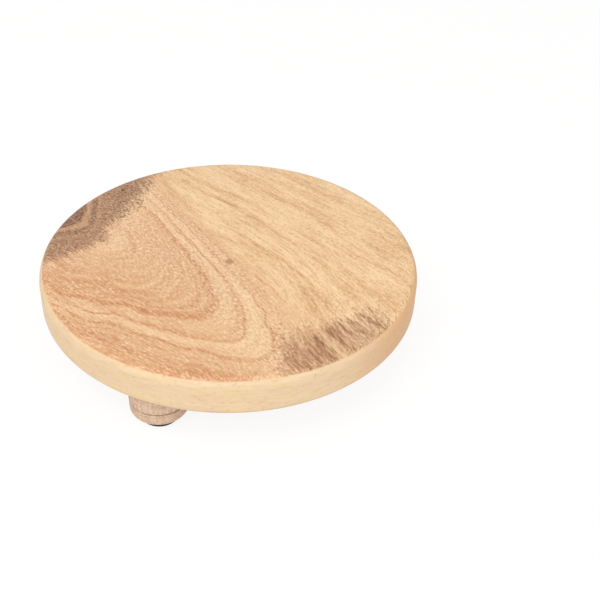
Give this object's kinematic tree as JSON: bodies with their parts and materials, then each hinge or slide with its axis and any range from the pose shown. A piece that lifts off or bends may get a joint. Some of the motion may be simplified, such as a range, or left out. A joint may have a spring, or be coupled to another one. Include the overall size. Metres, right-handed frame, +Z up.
{
  "type": "rolling board",
  "caption": "Round wooden rolling board for flatbread dough, a thick turned disc with a soft rounded edge, standing on short turned feet with rubber pads.",
  "frame": {"origin": "on the table, under the middle of the board", "axes": "+Z up through the middle of the board; -Y towards the front, +X to the right, so the foot seen in the picture stands at front left"},
  "size_m": [0.2286, 0.2286, 0.0535],
  "materials": {
    "board_wood": "fine-sanded hardwood, lightly oiled, satin",
    "foot_wood": "turned and sanded hardwood, matt",
    "screw_steel": "zinc plated",
    "pad_rubber": "moulded, matt"
  },
  "bodies": {
    "root": {"board": "board_wood", "front_left_foot": "foot_wood", "right_foot": "foot_wood", "back_left_foot": "foot_wood", "front_left_foot_screw": "screw_steel", "right_foot_screw": "screw_steel", "back_left_foot_screw": "screw_steel", "front_left_foot_pad": "pad_rubber", "right_foot_pad": "pad_rubber", "back_left_foot_pad": "pad_rubber"}
  },
  "joints": []
}
